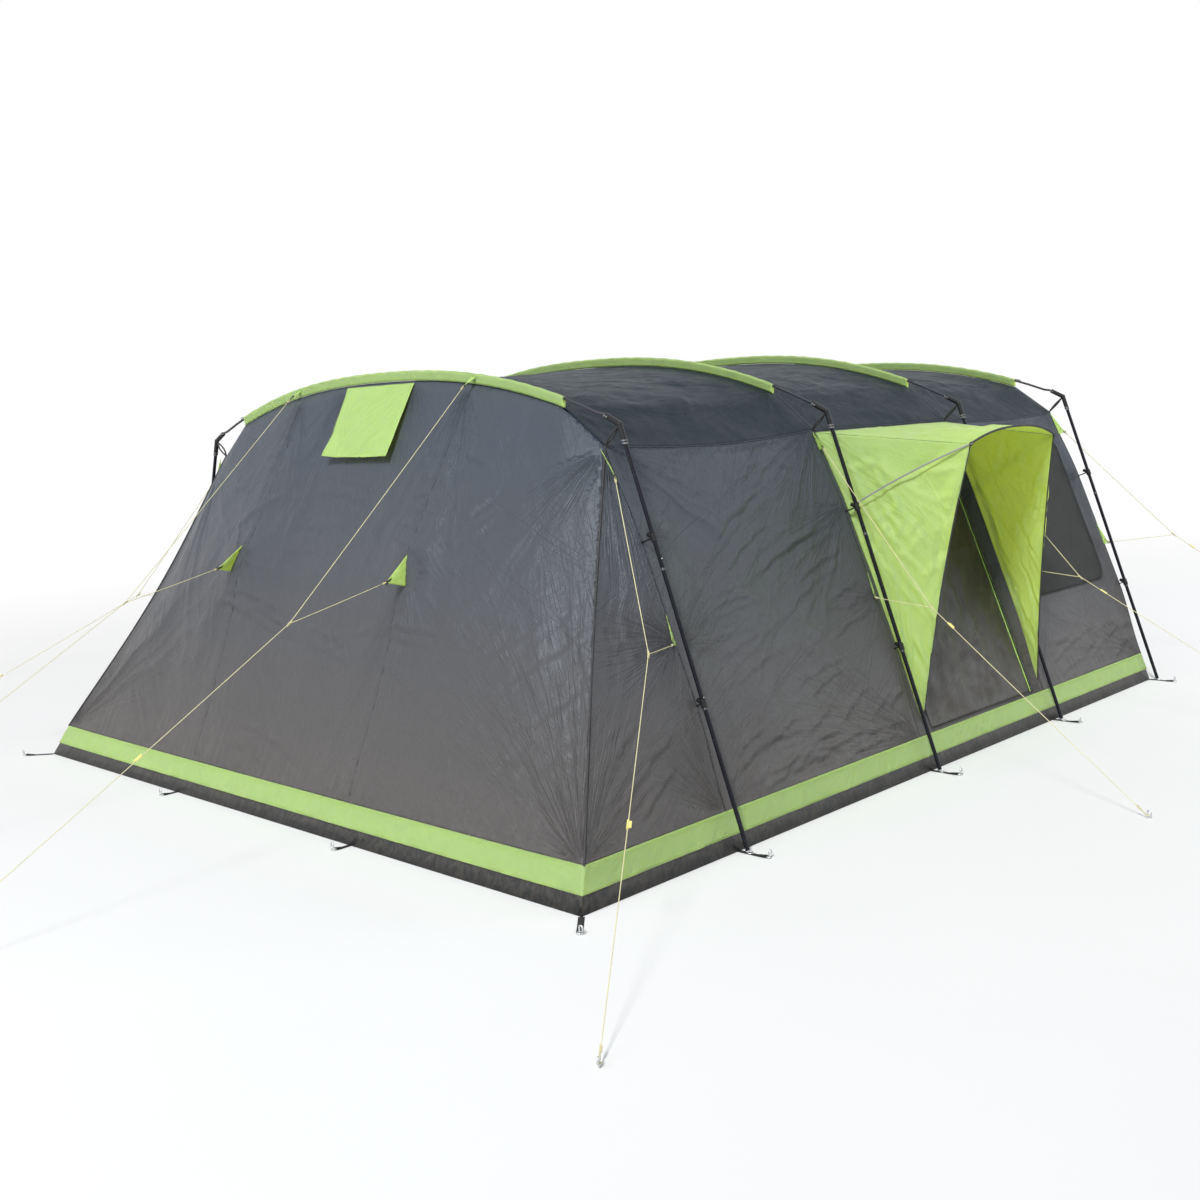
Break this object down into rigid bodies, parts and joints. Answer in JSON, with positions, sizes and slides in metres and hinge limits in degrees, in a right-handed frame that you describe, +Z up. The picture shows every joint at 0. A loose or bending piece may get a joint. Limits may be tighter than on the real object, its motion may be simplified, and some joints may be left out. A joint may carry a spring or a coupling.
{
  "type": "tent on poles",
  "caption": "Family tunnel tent on arched poles, with a slanted sleeping end, a side porch over a zipped door, a mesh window, a vent hood and pegged guy lines.",
  "frame": {"origin": "on the ground, at the middle of the pegged-out tent without its guy lines", "axes": "+X along the tunnel, from the slanted sleeping end to the upright front end; +Y away from the side with the porch; +Z up"},
  "size_m": [8.1793, 6.5675, 2.1095],
  "materials": {
    "leg_tube": "glossy blue-black paint",
    "roof_rod": "glossy fibreglass rod",
    "bow_rod": "satin fibreglass rod",
    "black_plastic": "moulded, satin",
    "plated_steel": "zinc plated",
    "dark_cloth": "coated polyester with a slight sheen",
    "door_cloth": "soft coated polyester, creased",
    "lime_cloth": "coated polyester with a slight sheen",
    "mesh": "fine insect mesh",
    "groundsheet": "woven polyethylene",
    "webbing": "woven, matte",
    "zip": "satin",
    "cord": "braided",
    "runner": "moulded, pale",
    "cabin_cloth": "breathable polyester, matte"
  },
  "bodies": {
    "tent": {"roof_pole_1": "roof_rod", "roof_pole_2": "roof_rod", "roof_pole_3": "roof_rod", "roof_pole_4": "roof_rod", "pole_elbows": "black_plastic", "legs_1": "leg_tube", "legs_2": "leg_tube", "legs_3": "leg_tube", "legs_4": "leg_tube", "foot_pins": "plated_steel", "foot_straps": "webbing", "roof_panel_1": "dark_cloth", "roof_panel_2": "dark_cloth", "roof_panel_3": "dark_cloth", "pole_sleeves": "lime_cloth", "side_wall": "dark_cloth", "door_wall": "dark_cloth", "window_wall": "dark_cloth", "far_wall": "dark_cloth", "end_wall": "dark_cloth", "gussets": "dark_cloth", "front_wall": "dark_cloth", "hem_band": "lime_cloth", "groundsheet": "groundsheet", "porch_top": "lime_cloth", "porch_cheeks": "lime_cloth", "porch_bow": "bow_rod", "window_panes": "mesh", "vent_mesh": "mesh", "guy_patches": "lime_cloth", "guy_rings": "black_plastic", "pole_clips": "black_plastic", "elbow_ties": "webbing", "ground_straps": "webbing", "ground_pegs": "plated_steel", "inner_cabin": "cabin_cloth", "cabin_hangers": "webbing", "guy_line_1": "cord", "guy_line_2": "cord", "guy_line_3": "cord", "guy_line_4": "cord", "guy_line_5": "cord", "guy_line_6": "cord", "guy_line_7": "cord", "guy_pegs": "plated_steel"},
    "door": {"door_edge": "lime_cloth", "side_door": "door_cloth"},
    "zip_slider": {"zip_slider": "zip"},
    "vent_hood": {"vent_hood": "lime_cloth"},
    "vent_stay": {"vent_stay": "black_plastic"},
    "cabin_door": {"cabin_door": "cabin_cloth"},
    "guy_runner_1": {"guy_runner_1": "runner"},
    "guy_runner_2": {"guy_runner_2": "runner"},
    "guy_runner_3": {"guy_runner_3": "runner"},
    "guy_runner_4": {"guy_runner_4": "runner"},
    "guy_runner_5": {"guy_runner_5": "runner"},
    "guy_runner_6": {"guy_runner_6": "runner"},
    "guy_runner_7": {"guy_runner_7": "runner"}
  },
  "joints": [
    {"name": "side_door_draw", "type": "slide", "parent": "tent", "child": "door", "axis": [-1, 0, 0], "range_m": [0, 0.8], "deforming": ["side_door"]},
    {"name": "door_zip_slide", "type": "slide", "parent": "door", "child": "zip_slider", "axis": [0, 0.3637, 0.9315], "range_m": [0, 1.15]},
    {"name": "vent_hood_hinge", "type": "hinge", "parent": "tent", "child": "vent_hood", "pos_m": [-1.57041, 0, 1.995], "axis": [0, 1, 0], "range_deg": [0, 50]},
    {"name": "vent_stay_hinge", "type": "hinge", "parent": "vent_hood", "child": "vent_stay", "pos_m": [-1.75816, 0, 1.6646], "axis": [0.5016, 0, 0.8651], "range_deg": [0, 85]},
    {"name": "cabin_door_hinge", "type": "hinge", "parent": "tent", "child": "cabin_door", "pos_m": [-0.16, 0.3597, 0.82], "axis": [0, 0, 1], "range_deg": [0, 100]},
    {"name": "guy_runner_1_slide", "type": "slide", "parent": "tent", "child": "guy_runner_1", "axis": [-0.7184, -0.5227, -0.4589], "range_m": [-0.3, 0.3]},
    {"name": "guy_runner_2_slide", "type": "slide", "parent": "tent", "child": "guy_runner_2", "axis": [-0.0889, -0.8, -0.5933], "range_m": [-0.05, 0.4]},
    {"name": "guy_runner_3_slide", "type": "slide", "parent": "tent", "child": "guy_runner_3", "axis": [0.207, -0.8142, -0.5424], "range_m": [-0.05, 0.4]},
    {"name": "guy_runner_4_slide", "type": "slide", "parent": "tent", "child": "guy_runner_4", "axis": [0.5256, -0.6168, -0.5859], "range_m": [-0.05, 0.4]},
    {"name": "guy_runner_5_slide", "type": "slide", "parent": "tent", "child": "guy_runner_5", "axis": [-0.7184, 0.5227, -0.4589], "range_m": [-0.3, 0.3]},
    {"name": "guy_runner_6_slide", "type": "slide", "parent": "tent", "child": "guy_runner_6", "axis": [-0.8682, -0.015, -0.4959], "range_m": [-0.3, 0.3]},
    {"name": "guy_runner_7_slide", "type": "slide", "parent": "tent", "child": "guy_runner_7", "axis": [-0.8682, 0.015, -0.4959], "range_m": [-0.3, 0.3]}
  ]
}
